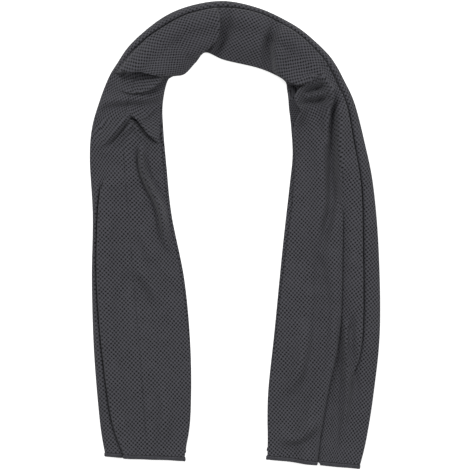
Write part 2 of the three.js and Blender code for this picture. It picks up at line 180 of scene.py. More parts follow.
# Crests and valleys of the front, in millimetres from the middle of the laid towel: rise, widths of
# the left and right side seen along the line, how far the top hangs over to the right as a share of
# the rise, and the line's points. A valley has a rise below 0.
FOLDS = [
    # overhang of the left shoulder
    (8, 18, 3.5, 0.7, [(-132.5, 164.5), (-109.5, 169.5), (-92.5, 171), (-78.5, 166.5), (-63.5, 163.5)]),
    # bulge under the overhang
    (6.5, 5, 3, 0.55, [(-114.5, 146.5), (-102.5, 146.5), (-88.5, 149.5), (-79.5, 155.5), (-74.5, 160.5)]),
    # ridge across the left shoulder
    (4.6, 6, 5, 0.25,
     [(-143.5, 127.5), (-128.5, 133.5), (-113.5, 136.5), (-85.5, 138.5), (-71.5, 143.5)]),
    # left slope of the tent
    (5.5, 3.5, 6, -0.12, [(-103.5, 121.5), (-110, 115), (-118, 105.5), (-124.5, 97.5), (-132.5, 89.5)]),
    # dent inside the tent
    (-2.5, 4.5, 4.5, 0, [(-106.5, 112.5), (-113.5, 103.5), (-121.5, 94.5), (-129.5, 86.5)]),
    # right slope of the tent
    (7, 4, 2.4, 0.6, [(-103.5, 122), (-94.5, 119.5), (-88.5, 113.5), (-83.5, 105.5), (-76.5, 95.5)]),
    # groove of the tent
    (-5, 2.4, 2.4, 0, [(-103.5, 117.5), (-98.5, 112.5), (-92.5, 104.5), (-87.5, 97.5), (-79.5, 92.5)]),
    # inner ridge of the tent
    (4, 3.5, 3.5, 0,
     [(-131.5, 82.5), (-118.5, 93.5), (-108.5, 104.5), (-101.5, 111.5), (-92.5, 99.5),
      (-87.5, 89.5)]),
    # groove beside the tent
    (-4.5, 2, 2, 0, [(-88.5, 114.5), (-84.5, 117.5), (-75.5, 124)]),
    # lengthwise ridge of the left leg
    (6.5, 3, 3, 0.12,
     [(-93.5, 86.5), (-91.5, 64.5), (-83.5, 46.5), (-74, 27.5), (-70.5, 7.5), (-68.5, -11.5)]),
    # groove left of that ridge
    (-3.5, 2.6, 2.6, 0,
     [(-97.5, 85.5), (-96, 69.5), (-89.5, 50.5), (-79, 29.5), (-75, 7.5), (-73.5, -7.5)]),
    # groove right of that ridge
    (-3.5, 2.6, 2.6, 0,
     [(-89.5, 79.5), (-86.5, 59.5), (-77.5, 42.5), (-69, 24), (-66.5, 6.5), (-64.5, -5.5)]),
    # overlap at the middle
    (7.5, 18, 2.4, 0.65, [(-35.5, 184.5), (-28.5, 192.5), (-23.5, 201.5), (-21, 212.5), (-21.5, 224.5)]),
    # valley beside the overlap
    (-4, 3, 6, 0, [(-23.5, 186.5), (-13.5, 196.5), (-9.5, 210.5), (-10.5, 222.5)]),
    # small ridge at the middle
    (4, 2.8, 2.8, 0, [(-24.5, 183.5), (-20.5, 190.5), (-15.5, 198.5)]),
    # bulge right of the middle
    (3.5, 15, 15, 0, [(10.5, 222.5), (13.5, 196.5), (14.5, 174.5)]),
    # crescent valley
    (-6.5, 4, 3.5, 0,
     [(41.5, 212.5), (34.5, 195.5), (32, 182.5), (34.5, 169.5), (40.5, 157.5), (49.5, 148.5)]),
    # bulge left of the crescent
    (2.5, 6, 5, 0, [(27.5, 204.5), (24.5, 186.5), (28.5, 170.5)]),
    # bulge right of the crescent
    (7, 6, 13, -0.15, [(53.5, 159.5), (45.5, 174.5), (44.5, 188.5), (51.5, 203.5)]),
    # overhang of the right shoulder
    (8, 12, 2.4, 0.62, [(41.5, 165.5), (55.5, 160.5), (66.5, 156.5), (77.5, 156)]),
    # roll of the right shoulder
    (8, 3, 4.5, -0.35,
     [(70.5, 160.5), (77.5, 159), (83.5, 155.5), (88.5, 150.5), (92, 145.5), (93.5, 140),
      (93, 134.5), (91, 128.5), (90, 118.5), (89, 106.5), (90.5, 92.5)]),
    # nose under the overhang
    (3.5, 3.2, 3.2, 0, [(68.5, 137), (81.5, 140.5), (93.5, 140.5)]),
    # free edge of the right shoulder
    (8.5, 5, 2.4, 0.3,
     [(85.5, 157.5), (79.5, 152), (72.5, 147.5), (68.5, 144.5), (65, 140), (64, 136.5),
      (65, 132.5), (67.2, 127.5), (67.5, 123.5), (66, 118.5), (62.5, 112.5), (61, 106.5),
      (61.5, 96.5), (62.5, 84.5)]),
    # dent in the nose
    (-4, 2.6, 2.6, 0, [(71.5, 142), (78.5, 145), (88.5, 147)]),
    # low dent in the nose
    (-4, 3, 3, 0, [(66.5, 132), (75.5, 132.5), (83.5, 133.5), (90.5, 137)]),
    # valley round the nose
    (-5, 3, 3, 0,
     [(86.5, 169.5), (92.5, 163.5), (97, 156.5), (100.5, 146.5), (101.3, 138.5), (99.5, 130.5),
      (98, 122.5)]),
    # valley beside the nose
    (-3, 3.5, 3.5, 0, [(98.5, 128.5), (97.5, 118.5), (98.5, 96.5), (98.5, 82.5)]),
    # valley down from the nose
    (-4.5, 4, 4, 0,
     [(99.5, 114.5), (97.5, 86.5), (96.5, 64.5), (96.5, 34.5), (92.5, 10.5), (86.5, -13.5)]),
    # outer ridge of the right leg
    (4.5, 5, 6, 0, [(106.5, 126.5), (103.5, 94.5), (105.5, 69.5), (103.5, 39.5)]),
    # inner ridge of the right leg
    (4, 6, 10, 0, [(87.5, 102.5), (86.5, 79.5), (87.5, 39.5), (81.5, -0.5)]),
    # soft ridge of the left leg
    (2.8, 9, 6, 0, [(-96.5, 9.5), (-85.5, -17.5), (-78.5, -55.5)]),
    # long valley of the right leg
    (-6, 7, 7, 0,
     [(84.5, -23.5), (87.5, -65.5), (83.5, -113.5), (76.5, -143.5), (64.5, -161.5), (47.5, -178.5)]),
    # low fold of the right leg
    (4.5, 8, 8, 0, [(69.5, -95.5), (65.5, -130.5), (53.5, -157.5)]),
    # valley above the right hem
    (-5.5, 5, 5, 0, [(80.5, -200.5), (69.5, -212.5), (53.5, -217.5)]),
    # valley right of the pleat
    (-4, 3, 3, 0, [(104.5, -85.5), (105.5, -128.5), (101, -160.5), (100.5, -213.5)]),
    # valley at the strip's end
    (-4, 3, 3, 0, [(117.5, -83.5), (115.5, -115.5), (119, -144.5), (122.5, -170.5)]),
    # fold beside the notch
    (3.5, 3, 3, 0, [(111, -90.5), (111, -117.5), (112, -157.5), (108, -205.5)]),
    # outer fold beside the notch
    (3, 5, 5, 0, [(126.5, -95.5), (126.5, -130.5), (129.5, -160.5), (123.5, -205.5)]),
    # dimple of the left leg
    (-4.5, 6, 5, 0, [(-93.5, -115.5), (-84.5, -120.5), (-75.5, -116.5)]),
    # low dent of the left leg
    (-4, 7, 7, 0, [(-116.5, -167.5), (-101.5, -180.5), (-84.5, -195.5)]),
    # upper dent of the left leg
    (-5, 4, 4, 0, [(-85.5, -27.5), (-74.5, -45.5), (-62.5, -59.5)]),
    # lower dent of the left leg
    (-4.8, 5.5, 5.5, 0, [(-108.5, -42.5), (-99.5, -55.5), (-89.5, -70.5)]),
    # fold between the dents
    (3.5, 5, 5, 0, [(-95.5, -33.5), (-85.5, -48.5), (-76.5, -63.5)]),
    # low fold of the left leg
    (3.5, 7, 7, 0, [(-72.5, -150.5), (-69.5, -180.5), (-74.5, -210.5)]),
    # lowest fold of the right leg
    (5, 7, 5, 0.3, [(47.5, -203.5), (63.5, -200.5), (78.5, -189.5)]),
]

# Steps of a fold's line from point to point, how far into the half wave of its fade each end lies, the
# power that flattens the fade, and how strongly a point takes its lean from the nearest step
LINE_STEPS = 5
FADE_START = 0.06
FADE_POWER = 0.65
NEAREST_POWER = 16
TINY = 1e-6

# Scales of all rises, the share of the crown that a valley may take away, the share of a crest that is
# left on the outer strip, and the width over which it changes there
CREST_SCALE = 1.5
VALLEY_SCALE = 1.8
VALLEY_SHARE = 0.75
EDGE_CREASE = 0.3
EDGE_BORDER = 5

# Share of a rise that the back layer follows, and the power that keeps the folds to the front
BACK_FOLLOWS = 0.15
FRONT_POWER = 4

# Heights above the first are pressed together, so that none reaches the second
TALL = 20
TALLEST = 28

# The slight unevenness of cloth that was laid by hand: its height, and each wave's radians for a
# millimetre to the right, for a millimetre up, and at the start
UNEVEN = 0.16
WAVES = [(0.19, 0.11, 0.3), (-0.13, 0.21, 1.7), (0.27, -0.08, 4.1), (0.07, 0.33, 2.6), (-0.31, 0.17, 5.2)]

# How far each end waves in and out, and each wave's share, radians across the band and at the start
END_RIPPLE = 0.22
RIPPLES = [(1, 8, 1), (0.6, 19, 0)]


def smooth(share):
    share = np.clip(share, 0, 1)
    return share * share * (3 - 2 * share)


def blend(low, high, share):
    return low + (high - low) * share


# Value of one column of the ribs at places between them, on a smooth curve
def between(name, place):
    column = RIBS[:, RIB_COLUMNS.index(name)]
    row = np.clip(np.floor(place).astype(int), 0, LAST_RIB - 1)
    share = place - row
    p, q, r, s = (column[np.clip(row + step, 0, LAST_RIB)] for step in (-1, 0, 1, 2))
    bend = (2 * p - 5 * q + 4 * r - s) * share + (3 * q - p - 3 * r + s) * share**2
    return q + 0.5 * share * (r - p + bend)


def edge_points(side, place):
    x = between(side + "_x", place) * LAID_WIDTH
    y = between(side + "_y", place) * LAID_LENGTH
    return np.stack([x, y], -1)


def middle_points(place):
    return (edge_points("outer", place) + edge_points("inner", place)) / 2


def section_places():
    places = []
    ends = middle_points(np.arange(LAST_RIB + 1.0))
    for row in range(LAST_RIB):
        length = np.linalg.norm(ends[row + 1] - ends[row])
        crowns = RIBS[row, -1] + RIBS[row + 1, -1]
        steps = math.ceil(length / (BEND_STEP if crowns > BUNCHED else LEG_STEP))
        places.extend(row + np.arange(steps) / steps)
    return np.array(places + [float(LAST_RIB)])


# Smooth line through a few points
def line_through(points):
    points = np.array(points, float)
    padded = np.vstack([2 * points[0] - points[1], points, 2 * points[-1] - points[-2]])
    line = []
    for i in range(len(points) - 1):
        p, q, r, s = padded[i:i + 4]
        for t in np.arange(LINE_STEPS) / LINE_STEPS:
            line.append(0.5 * (2 * q + (r - p) * t + (2 * p - 5 * q + 4 * r - s) * t**2
                               + (3 * q - p - 3 * r + s) * t**3))
    return np.array(line + [points[-1]])


# Crests, valleys and the sideways lean of all folds over the points of the plan
def fold_field(x, y):
    crests, valleys, lean = np.zeros(x.shape), np.zeros(x.shape), np.zeros(x.shape + (2,))
    for rise, left, right, over, points in FOLDS:
        line = line_through(points)
        nearest, turn, parts = np.full(x.shape, np.inf), np.zeros(x.shape), []
        for i in range(len(line) - 1):
            run = line[i + 1] - line[i]
            reach = np.stack([x - line[i, 0], y - line[i, 1]], -1)
            share = np.clip(reach @ run / (run @ run), 0, 1)
            distance = np.linalg.norm(reach - share[..., None] * run, axis=-1)
            side = (run[0] * reach[..., 1] - run[1] * reach[..., 0]) / np.linalg.norm(run)
            turn = np.where(distance < nearest, side / np.maximum(distance, TINY), turn)
            nearest = np.minimum(nearest, distance)
            along = blend(FADE_START, 1 - FADE_START, (i + share) / (len(line) - 1))
            right_way = np.array([run[1], -run[0]]) / np.linalg.norm(run)
            parts.append((distance, np.sin(np.pi * along)**FADE_POWER, right_way))
        width = blend(right, left, smooth(0.5 + 0.5 * turn))
        own, way, weights = np.zeros(x.shape), np.zeros(x.shape + (2,)), np.full(x.shape, TINY**2)
        for distance, fade, right_way in parts:
            part = fade * np.exp(-((distance / width)**2))
            own = np.maximum(own, part)
            weights += part**NEAREST_POWER
            way += (part**NEAREST_POWER)[..., None] * right_way
        own *= rise * (CREST_SCALE if rise > 0 else VALLEY_SCALE)
        crests = np.hypot(crests, np.maximum(own, 0))
        valleys = np.hypot(valleys, np.minimum(own, 0))
        lean += way / weights[..., None] * (over * own)[..., None]
    return crests, valleys, lean


def unevenness(plan):
    return UNEVEN * sum(np.sin(a * plan[..., 0] + b * plan[..., 1] + c) for a, b, c in WAVES)


# A pleat turns back on itself where its fold is above the second value, and is open below the first.
# Its height starts at a smaller fold, and halfway round the turn its layers stand further apart.
TURN_STARTS = 0.3
TURN_ENDS = 0.6
TURN_LOFT = 0.6
RISE_STARTS = 0.1
RISE_SPAN = 0.8

# How much cloth the strip, the pleat and a pleat that has just turned hide, and over how long a way
# the front comes down again beside a pleat
STRIP_OVERLAP = 4
PLEAT_OVERLAP = 9
LEAST_OVERLAP = 1
PLEAT_SETTLE = 16

# How far the points of an open pleat lie apart, which of them lies on the edge line, and how many of
# these steps beside that line the front comes down
OPEN_PLEAT_STEP = 1.5
OPEN_PLEAT_EDGE = 4.5
OPEN_PLEAT_SETTLE = 5.5

# Points of a pleat from 0, over its edge line at 1, back to 3, over its hidden turn at 4, to 5
PLEAT_POINTS = np.concatenate([np.arange(0, 2, 0.25), [2, 2.5], np.arange(3, 5.01, 0.5)])


# One pleat along the band: its edge line, height, turn, overlap and the pitch of its layers
def pleat_at(edge, fold, full_overlap, pitch):
    turned = smooth((fold - TURN_STARTS) / (TURN_ENDS - TURN_STARTS))
    overlap = blend(LEAST_OVERLAP, full_overlap, smooth((fold - TURN_ENDS) / (1 - TURN_ENDS)))
    loft = 1 + TURN_LOFT * 4 * turned * (1 - turned)
    return {"edge": edge, "height": smooth((fold - RISE_STARTS) / RISE_SPAN), "turned": turned,
            "overlap": overlap, "pitch": pitch * loft}


def settle_start(pleat):
    folded = pleat["overlap"] + pleat["pitch"] + CLOTH_THICKNESS / 2
    return pleat["edge"] + blend(OPEN_PLEAT_STEP * OPEN_PLEAT_SETTLE, folded, pleat["turned"])


def stack_over(pleat, across):
    past = (across - settle_start(pleat)) / PLEAT_SETTLE
    return 2 * pleat["pitch"] * pleat["height"] * (1 - smooth(past))


def pleat_points(pleat, base_at):
    points = []
    half, turn = CLOTH_THICKNESS / 2, pleat["pitch"] / 2
    edge = pleat["edge"] + half
    back = edge + turn + pleat["overlap"]
    for t in PLEAT_POINTS:
        if t <= 2:
            angle = math.radians(90 + 90 * t)
            across, level = edge + turn + turn * math.cos(angle), 1.5 + 0.5 * math.sin(angle)
        elif t < 3:
            across, level = blend(edge + turn, back, t - 2), 1
        else:
            angle = math.radians(90 - 90 * (t - 3))
            across, level = back + turn * math.cos(angle), 0.5 + 0.5 * math.sin(angle)
        opened = pleat["edge"] + OPEN_PLEAT_STEP * (OPEN_PLEAT_EDGE - t)
        base = base_at(blend(opened, pleat["edge"], pleat["turned"]))
        points.append((blend(opened, across, pleat["turned"]),
                       base + level * pleat["pitch"] * pleat["height"]))
    return points


# The runs of the fold's centre line, and how many points the plain ones have
FRONT, PLEAT, SIDE, TUCKED, OUTER, BACK, BOTTOM = range(7)
FRONT_POINTS = 36
SIDE_POINTS = 24
SIDE_CROWDING = 1.25
STRIP_POINTS = 19
OUTER_TURN_POINTS = 8
BACK_POINTS = 7
BOTTOM_POINTS = 6

# The layers of the strip and the pleat stand further apart than plain ones, less so near the ends
STRIP_PITCH = 1.7
PLEAT_PITCH = 1.35

# The outer strip bulges: how high, the most as a share of its width, how far the bulge stays from the
# edge line, how near to that side it is highest, and the strip's least width
STRIP_LOFT = 3.2
STRIP_LOFT_SHARE = 0.6
STRIP_CREASE = 1.1
STRIP_BULGE_POWER = 0.6
LEAST_STRIP = 0.5

# How far the hidden layers, the outer strip and the notch at the pleat stop short of the ends, how
# the last two begin over a pleat's points from 0 to 5, how far the notch starts beside the pleat, over
# how wide a way it rounds off, and how far from each end the band still gives way
HIDDEN_RECESS = 8
STRIP_RECESS = 0.3
STRIP_RECESS_AT = [0, 0, 0, 0.8, 0.9, 1]
NOTCH_RECESS = 3
NOTCH_RECESS_AT = [0, 0, 0.3, 0.9, 1, 1]
NOTCH_GAP = 0.6
NOTCH_ROUND = 3
RECESS_RUN = 45

# The lowest layer is at least this share of the way to the outer fold
LEAST_BOTTOM = 0.3


# The fold's centre line in every section, from the front's free inner edge over both pleats, round
# the outer fold, back under, round the inner fold and out along the bottom
def fold_paths(section):
    path = []
    half, turn = CLOTH_THICKNESS / 2, section["pitch"] / 2
    bottom = section["floor"]
    middle = bottom + section["pitch"]
    top = middle + section["pitch"]
    width = section["width"]
    strip = pleat_at(section["strip"] * width, section["strip_fold"], STRIP_OVERLAP,
                     section["pitch"] * blend(STRIP_PITCH, 1, section["end"]**0.5))
    pleat = pleat_at(section["pleat"] * width, section["pleat_fold"], PLEAT_OVERLAP,
                     section["pitch"] * blend(PLEAT_PITCH, 1, section["end"]**0.5))

    def put(across, height, follow, left_recess, right_recess, layer):
        path.append([across + width * 0, height + width * 0, follow, left_recess, right_recess, layer])

    def panel_height(across):
        return top + stack_over(strip, across)

    bent = pleat_points(pleat, panel_height)
    free_edge = width * (1 - section["inset"])
    for share in np.arange(FRONT_POINTS) / FRONT_POINTS:
        across = blend(free_edge, bent[0][0], share)
        put(across, panel_height(across) + stack_over(pleat, across), 1, 0, 0, FRONT)
    for t, (across, height) in zip(PLEAT_POINTS, bent):
        put(across, height, 1, 0, np.interp(t, range(6), NOTCH_RECESS_AT) * NOTCH_RECESS, PLEAT)
    side_from = pleat["edge"] - NOTCH_GAP
    side_to = np.minimum(settle_start(strip), side_from - NOTCH_ROUND - NOTCH_GAP)
    for share in np.linspace(0, 1, SIDE_POINTS)**SIDE_CROWDING:
        across = blend(side_from, side_to, share)
        notch = np.clip(1 - (side_from - across) / NOTCH_ROUND, 0, 1)**0.5 * NOTCH_RECESS
        put(across, panel_height(across), 1, 0, notch, SIDE)
    tucked = pleat_points(strip, lambda across: top)
    for t, (across, height) in zip(PLEAT_POINTS, tucked):
        put(across, height, 1, np.interp(t, range(6), STRIP_RECESS_AT) * STRIP_RECESS, 0, TUCKED)
    round_off = half + turn
    strip_from = np.maximum(strip["edge"], round_off + LEAST_STRIP)
    strip_loft = np.minimum(STRIP_LOFT, STRIP_LOFT_SHARE * (strip_from - round_off)) * strip["turned"]
    for share in np.linspace(0, 1, STRIP_POINTS)[1:-1]:
        across = blend(tucked[-1][0], round_off, share)
        bare = np.clip((strip_from - STRIP_CREASE - across) / (strip_from - round_off), 0, 1)
        bulge = strip_loft * np.sin(np.pi * bare**STRIP_BULGE_POWER)
        put(across, top + bulge, 1, STRIP_RECESS, 0, OUTER)
    for angle in np.radians(np.linspace(90, 270, OUTER_TURN_POINTS)):
        follow = blend(BACK_FOLLOWS, 1, 0.5 + 0.5 * math.sin(angle))
        put(round_off + turn * math.cos(angle), middle + turn + turn * math.sin(angle), follow,
            STRIP_RECESS, 0, OUTER)
    far = width - round_off
    for share in np.arange(1, BACK_POINTS) / BACK_POINTS:
        put(blend(round_off, far, share), middle, BACK_FOLLOWS, HIDDEN_RECESS, HIDDEN_RECESS, BACK)
    for angle in np.radians(np.linspace(90, -90, BACK_POINTS)):
        follow = BACK_FOLLOWS * (0.5 + 0.5 * math.sin(angle))
        put(far + turn * math.cos(angle), bottom + turn + turn * math.sin(angle), follow,
            HIDDEN_RECESS, HIDDEN_RECESS, BACK)
    acrosses, heights = (np.stack([point[i] for point in path]) for i in (0, 1))
    used = np.hypot(np.diff(acrosses, axis=0), np.diff(heights, axis=0)).sum(0)
    left = np.clip(TOWEL_WIDTH - used, LEAST_BOTTOM * far, far - round_off)
    for share in np.arange(1, BOTTOM_POINTS) / (BOTTOM_POINTS - 1):
        put(far - left * share, bottom, 0, HIDDEN_RECESS, HIDDEN_RECESS, BOTTOM)
    return [np.stack([np.broadcast_to(point[i], width.shape) for point in path], -1) for i in range(6)]


# Direction on the plan from one end of the band into it
def inland(at_left):
    ends = middle_points(np.array([0.0, 1.0] if at_left else [LAST_RIB, LAST_RIB - 1.0]))
    return (ends[1] - ends[0]) / np.linalg.norm(ends[1] - ends[0])


places = section_places()
middles = middle_points(places)
ways = np.concatenate([[0], np.cumsum(np.linalg.norm(np.diff(middles, axis=0), axis=1))])
left_end = np.maximum(0, 1 - ways / RECESS_RUN)**2
right_end = np.maximum(0, 1 - (ways[-1] - ways) / RECESS_RUN)**2
outer, inner = edge_points("outer", places), edge_points("inner", places)
near_end = np.maximum(left_end, right_end)
layer_height = blend(CLOTH_THICKNESS, HEM_THICKNESS, near_end)
section = {name: between(name, places) for name in RIB_COLUMNS[4:]}
section["width"] = np.linalg.norm(outer - inner, axis=1)
section["pitch"] = layer_height + LAYER_GAP
section["floor"] = layer_height / 2
section["end"] = near_end
section["inset"] = np.interp(places, *np.array(FREE_EDGE).T)
section["strip"] = np.maximum(0, section["strip"])
section["strip_fold"] = np.clip(section["strip_fold"], 0, 1)
section["pleat_fold"] = np.clip(section["pleat_fold"], 0, 1)
across, height, follow, left_recess, right_recess, layer = fold_paths(section)
share = across / section["width"][:, None]
laid_plan = outer[:, None] + share[..., None] * (inner - outer)[:, None]
end_shift = HEM_DEPTH - HEM_GRIP
ripple = END_RIPPLE * sum(part * np.sin(radians * share + start) for part, radians, start in RIPPLES)
laid_plan += ((end_shift + left_recess + ripple) * left_end[:, None])[..., None] * inland(True)
laid_plan += ((end_shift + right_recess + ripple) * right_end[:, None])[..., None] * inland(False)
crown = np.maximum(0, section["crown"])[:, None] * CROWN_HEIGHT * np.sin(np.pi * np.clip(share, 0, 1))
border = (across - (section["strip"] * section["width"])[:, None]) / EDGE_BORDER + 0.5
crests, valleys, lean = fold_field(laid_plan[..., 0], laid_plan[..., 1])
edge_fade = blend(EDGE_CREASE, 1, smooth(border))
folds = crests * edge_fade - np.minimum(valleys, VALLEY_SHARE * crown)
folds = folds + unevenness(laid_plan) * smooth(border)
plan = laid_plan + lean * (edge_fade * follow**FRONT_POWER)[..., None]
heights = height + (crown * follow + folds * follow**FRONT_POWER)
pressed = TALL + (TALLEST - TALL) * np.tanh((heights - TALL) / (TALLEST - TALL))
centre = np.dstack([plan, np.where(heights > TALL, pressed, heights)])

# The knit lies flat in each panel between two strong creases and turns from panel to panel. Each row
# is one turn: its places at the outer and inner edge, how wide it blends, and the knit's direction
# after it, in degrees. The last two values turn the side beside the pleat.
KNIT_START = 94
KNIT_TURNS = [
    (5.2, 5.2, 1.0, 102),
    (6.0, 7.2, 0.25, 65),
    (8.1, 8.7, 0.20, 33),
    (10.5, 11.0, 1.5, 26),
    (12.95, 12.25, 0.20, -16),
    (14.75, 14.8, 0.25, -37),
    (18.2, 16.7, 0.25, -68),
    (20.3, 19.9, 0.30, -92),
    (21.6, 21.6, 0.80, -85),
]
SIDE_TURN = -13
SIDE_TURN_FROM = 21.5

# A turn blends wider at the outer edge than at the inner. A turn of more than SEAM_FROM degrees is a
# seam, where the knit may jump, fully so SEAM_SPAN above it. It starts a little inside the outer edge.
OUTER_SPREAD = 2.0
INNER_SPREAD = 0.4
SEAM_FROM = 12
SEAM_SPAN = 20
SEAM_EDGE = 0.02
SEAM_EDGE_SPAN = 0.1

# How much steep cloth, a seam and the hidden layers still hold the knit to its size, and when the
# search for the knit's places ends
STEEP_HOLD = 0.05
STEEP_POWER = 3
SEAM_HOLD = 0.001
HIDDEN_HOLD = 0.02
MOST_ROUNDS = 1500
LEAST_REST = 1e-6


# How level a step lies, so that steep and overhanging parts take up what the knit can't follow
def level_share(step):
    level = np.linalg.norm(step[..., :2], axis=-1) / np.linalg.norm(step, axis=-1)
    return STEEP_HOLD + (1 - STEEP_HOLD) * level**STEEP_POWER


# The knit's direction in degrees at each point, and how much of a seam is there
def knit_directions():
    inward = np.clip(share, 0, 1)
    direction = np.full(share.shape, float(KNIT_START))
    seam = np.zeros(share.shape)
    before = KNIT_START
    for outer_place, inner_place, width, after in KNIT_TURNS:
        line = blend(outer_place, inner_place, inward)
        passed = (places[:, None] - line) / (width * blend(OUTER_SPREAD, INNER_SPREAD, inward))
        direction += (after - before) * smooth(passed + 0.5)
        sharp = smooth((abs(after - before) - SEAM_FROM) / SEAM_SPAN)
        seam = np.maximum(seam, sharp * np.exp(-passed**2) * smooth((inward - SEAM_EDGE) / SEAM_EDGE_SPAN))
        before = after
    past = places[:, None] - SIDE_TURN_FROM
    direction += np.where((layer >= SIDE) & (past > -0.5), SIDE_TURN * smooth(past + 0.5), 0)
    return direction, seam


# Each point's place in the knit. Every step asks for its own length in the knit's direction, and the
# places that suit all steps best by their weights are found by conjugate gradients.
def knit_places():
    rows, columns = share.shape
    direction, seam = knit_directions()
    angle = np.radians(direction)
    length_way = np.stack([np.cos(angle), np.sin(angle)], -1)
    width_way = np.stack([np.sin(angle), -np.cos(angle)], -1)
    step, flat = centre[1:] - centre[:-1], laid_plan[1:] - laid_plan[:-1]
    stretch = np.linalg.norm(step, axis=-1) / np.maximum(np.linalg.norm(flat, axis=-1), TINY)
    along = np.stack([(flat * (width_way[1:] + width_way[:-1]) / 2).sum(-1),
                      (flat * (length_way[1:] + length_way[:-1]) / 2).sum(-1)], -1) * stretch[..., None]
    along[..., 0] *= np.where(layer == BACK, -1, 1)[1:]
    seam_hold = blend(1, SEAM_HOLD, (seam[1:] + seam[:-1]) / 2)
    along_weight = np.where(layer[1:] <= OUTER, 1.0, HIDDEN_HOLD) * seam_hold * level_share(step)
    step = centre[:, 1:] - centre[:, :-1]
    run = np.linalg.norm(step, axis=-1)
    band = ((outer - inner) / section["width"][:, None])[:, None]
    sideways = np.stack([(band * width_way[:, :-1]).sum(-1),
                         (band * length_way[:, :-1]).sum(-1)], -1) * run[..., None]
    side_weight = level_share(step)
    side_weight[(layer[:, 1:] == PLEAT) & (places[:, None] > SIDE_TURN_FROM)] = HIDDEN_HOLD

    def gathered(along, sideways):
        total = np.zeros((rows, columns, 2))
        flow = along * along_weight[..., None]
        total[1:] += flow
        total[:-1] -= flow
        flow = sideways * side_weight[..., None]
        total[:, 1:] += flow
        total[:, :-1] -= flow
        return total

    def pull(values):
        return gathered(values[1:] - values[:-1], values[:, 1:] - values[:, :-1])

    laid = np.zeros((rows, columns, 2))
    laid[..., 1] = ways[:, None]
    laid[..., 0] = -np.concatenate([np.zeros((rows, 1)), np.cumsum(run, 1)], 1)
    rest = gathered(along, sideways) - pull(laid)
    way = rest.copy()
    power = (rest * rest).sum()
    for _ in range(MOST_ROUNDS):
        pulled = pull(way)
        step_size = power / (way * pulled).sum()
        laid += step_size * way
        rest -= step_size * pulled
        new_power = (rest * rest).sum()
        way = rest + (new_power / power) * way
        power = new_power
        if power < LEAST_REST:
            break
    return laid


def grid_mesh(name, points, knit_at):
    rows, columns = points.shape[:2]
    mesh = bpy.data.meshes.new(name)
    corner = np.arange(rows * columns).reshape(rows, columns)
    quads = np.stack([corner[:-1, :-1], corner[1:, :-1], corner[1:, 1:], corner[:-1, 1:]], -1)
    quads = quads.reshape(-1, 4)
    mesh.from_pydata((points.reshape(-1, 3) * MM).tolist(), [], quads.tolist())
    knit_map = mesh.uv_layers.new(name="knit")
    corners_at = knit_at.reshape(-1, 2)[quads.ravel()] * MM
    knit_map.data.foreach_set("uv", corners_at.ravel().astype(np.float32))
    return mesh


def select_only(piece):
    bpy.ops.object.select_all(action="DESELECT")
    piece.select_set(True)
    bpy.context.view_layer.objects.active = piece


CLOTH_SMOOTH_ANGLE = math.radians(50)

cloth = bpy.data.objects.new("cloth", grid_mesh("cloth", centre, knit_places()))
bpy.context.scene.collection.objects.link(cloth)
select_only(cloth)
wall = cloth.modifiers.new("cloth_wall", "SOLIDIFY")
wall.thickness = CLOTH_THICKNESS * MM
wall.offset = 0
bpy.ops.object.modifier_apply(modifier=wall.name)
bpy.ops.object.shade_smooth_by_angle(angle=CLOTH_SMOOTH_ANGLE)

# The knit in millimetres of the cloth: the pitch of the holes, how open they are, how soft their edge
# is, how dark the faintest hole's painted shade is, how far their rows wander, and the level between
# two holes where a cord is full and where it is gone
HOLES_ACROSS = 3.9
HOLES_ALONG = 4.2
HOLE_OPEN = 0.5
HOLE_SOFTNESS = 0.22
FAINTEST_HOLE_SHADE = 0.45
WANDER = 1.6
CORD_FULL = -0.7
CORD_GONE = 0.6

# The yarn's own loops, and the shares of the relief
LOOP_WIDTH = 0.65
LOOP_LENGTH = 0.52
LOOP_RELIEF = 0.10
FLAT_RELIEF = 0.75
CORD_RELIEF = 0.25

YARN_DARK = (0.023, 0.0229, 0.0268, 1)
YARN_LIGHT = (0.033, 0.0327, 0.038, 1)
CORD_COLOUR = (0.07, 0.0694, 0.0803, 1)
# The holes are painted near black: painted shade of the shadowed layers seen through them
HOLE_SHADE = (0.002, 0.002, 0.0024, 1)


def set_socket(tree, socket, value):
    if isinstance(value, bpy.types.NodeSocket):
        tree.links.new(value, socket)
    else:
        socket.default_value = value


# A node with its first sockets set in their order and others set by name
def add_node(tree, kind, *values, **named):
    node = tree.nodes.new(kind)
    for place, value in enumerate(values):
        set_socket(tree, node.inputs[place], value)
    for name, value in named.items():
        set_socket(tree, node.inputs[name], value)
    return node


def maths(tree, operation, first, second=0.0):
    node = add_node(tree, "ShaderNodeMath", first, second)
    node.operation = operation
    return node.outputs[0]


def vector_maths(tree, operation, first, second):
    node = add_node(tree, "ShaderNodeVectorMath", first, second)
    node.operation = operation
    return node.outputs[0]


def ranged(tree, value, low, high, to_low, to_high, kind="SMOOTHSTEP"):
    node = add_node(tree, "ShaderNodeMapRange", value, low, high, to_low, to_high)
    node.interpolation_type = kind
    return node.outputs["Result"]


def mixed(tree, share, first, second):
    node = tree.nodes.new("ShaderNodeMix")
    node.data_type = "RGBA"
    set_socket(tree, node.inputs[0], share)
    set_socket(tree, node.inputs[6], first)
    set_socket(tree, node.inputs[7], second)
    return node.outputs[2]


def sine_of(tree, place, pitch):
    return maths(tree, "SINE", maths(tree, "MULTIPLY", place, 2 * math.pi / pitch))


def cosine_turns(tree, turns):
    return maths(tree, "COSINE", maths(tree, "MULTIPLY", turns, 2 * math.pi))


